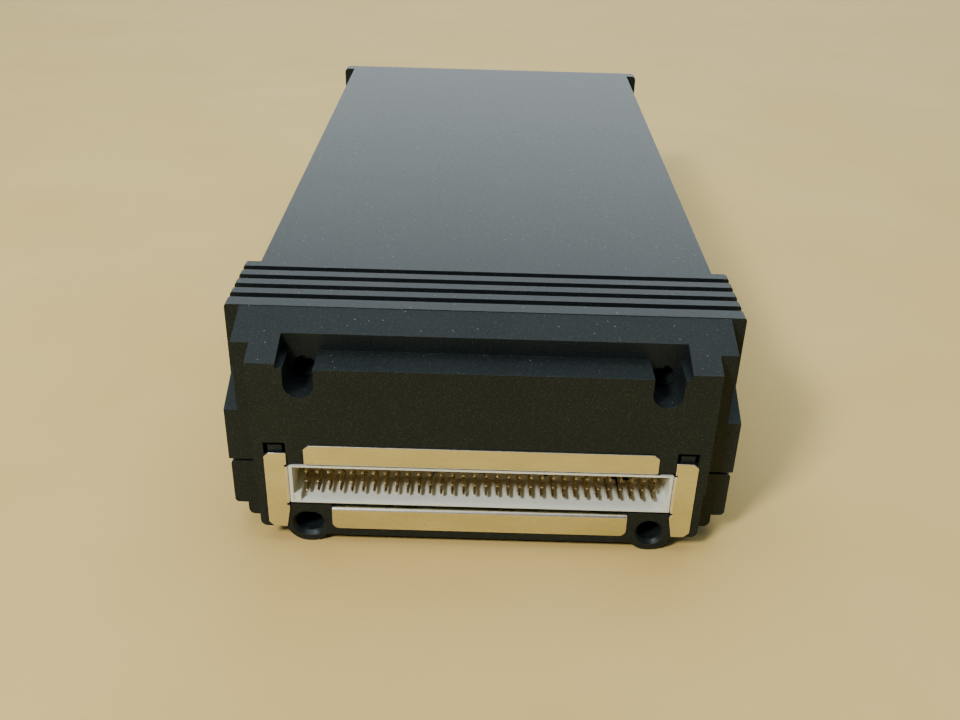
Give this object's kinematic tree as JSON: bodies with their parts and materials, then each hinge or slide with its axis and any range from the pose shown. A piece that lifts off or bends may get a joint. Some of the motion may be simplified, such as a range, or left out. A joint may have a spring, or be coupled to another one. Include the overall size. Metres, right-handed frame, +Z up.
{
  "type": "plc module",
  "caption": "Flat plug-in control module with a finned collar, a recessed rear connector between guide holes, and captive jack screws.",
  "frame": {"origin": "middle of the overall box's underside", "axes": "+Y from the rear connector face to the front bezel, +Z up from the underside to the flat top, +X to the right as seen from the rear"},
  "size_m": [0.116, 0.2454, 0.0523],
  "materials": {
    "case_plastic": "fine moulded texture",
    "screw_steel": "zinc plated",
    "spring_steel": "oiled",
    "plate_metal": "nickel plated",
    "connector_plastic": "moulded",
    "contact_metal": "gold flashed",
    "board_laminate": "solder mask",
    "spacer_brass": "turned",
    "chip_plastic": "moulded",
    "converter_case": "satin",
    "ferrite": "coated",
    "capacitor_sleeve": "shrink sleeve",
    "relay_plastic": "moulded",
    "fuse_glass": "clear",
    "heat_sink_metal": "extruded",
    "lamp_lens": "clear tinted",
    "label_plastic": "satin"
  },
  "bodies": {
    "case": {"upper_case": "case_plastic", "lower_case": "case_plastic", "front_bezel": "case_plastic", "case_screws": "screw_steel", "top_contact_plate": "plate_metal", "bottom_contact_plate": "plate_metal", "left_contact_plate": "plate_metal", "right_contact_plate": "plate_metal", "connector_housing": "connector_plastic", "connector_contacts": "contact_metal", "connector_rivets": "screw_steel", "main_board": "board_laminate", "board_spacers": "spacer_brass", "upper_board": "board_laminate", "upper_board_screws": "screw_steel", "stacking_socket": "chip_plastic", "stacking_header": "chip_plastic", "processor": "chip_plastic", "memory_chips": "chip_plastic", "driver_chips": "chip_plastic", "power_converter": "converter_case", "choke_core": "ferrite", "capacitors": "capacitor_sleeve", "relays": "relay_plastic", "fuse": "fuse_glass", "fuse_clips": "plate_metal", "heat_sink": "heat_sink_metal", "regulators": "chip_plastic", "indicator_board": "board_laminate", "indicator_socket": "chip_plastic", "indicator_lamps": "lamp_lens", "light_pipes": "lamp_lens", "label_plate": "label_plastic"},
    "left_clip": {"left_retaining_clip": "spring_steel"},
    "left_screw": {"left_jack_screw": "screw_steel"},
    "right_clip": {"right_retaining_clip": "spring_steel"},
    "right_screw": {"right_jack_screw": "screw_steel"}
  },
  "joints": [
    {"name": "left_screw_slide", "type": "slide", "parent": "case", "child": "left_clip", "axis": [0, -1, 0], "range_m": [0, 0.009]},
    {"name": "left_screw_turn", "type": "hinge", "parent": "left_clip", "child": "left_screw", "pos_m": [-0.0394, 0.1, 0.0419], "axis": [0, -1, 0], "continuous": true},
    {"name": "right_screw_slide", "type": "slide", "parent": "case", "child": "right_clip", "axis": [0, -1, 0], "range_m": [0, 0.009]},
    {"name": "right_screw_turn", "type": "hinge", "parent": "right_clip", "child": "right_screw", "pos_m": [0.0394, 0.1, 0.0419], "axis": [0, -1, 0], "continuous": true}
  ]
}
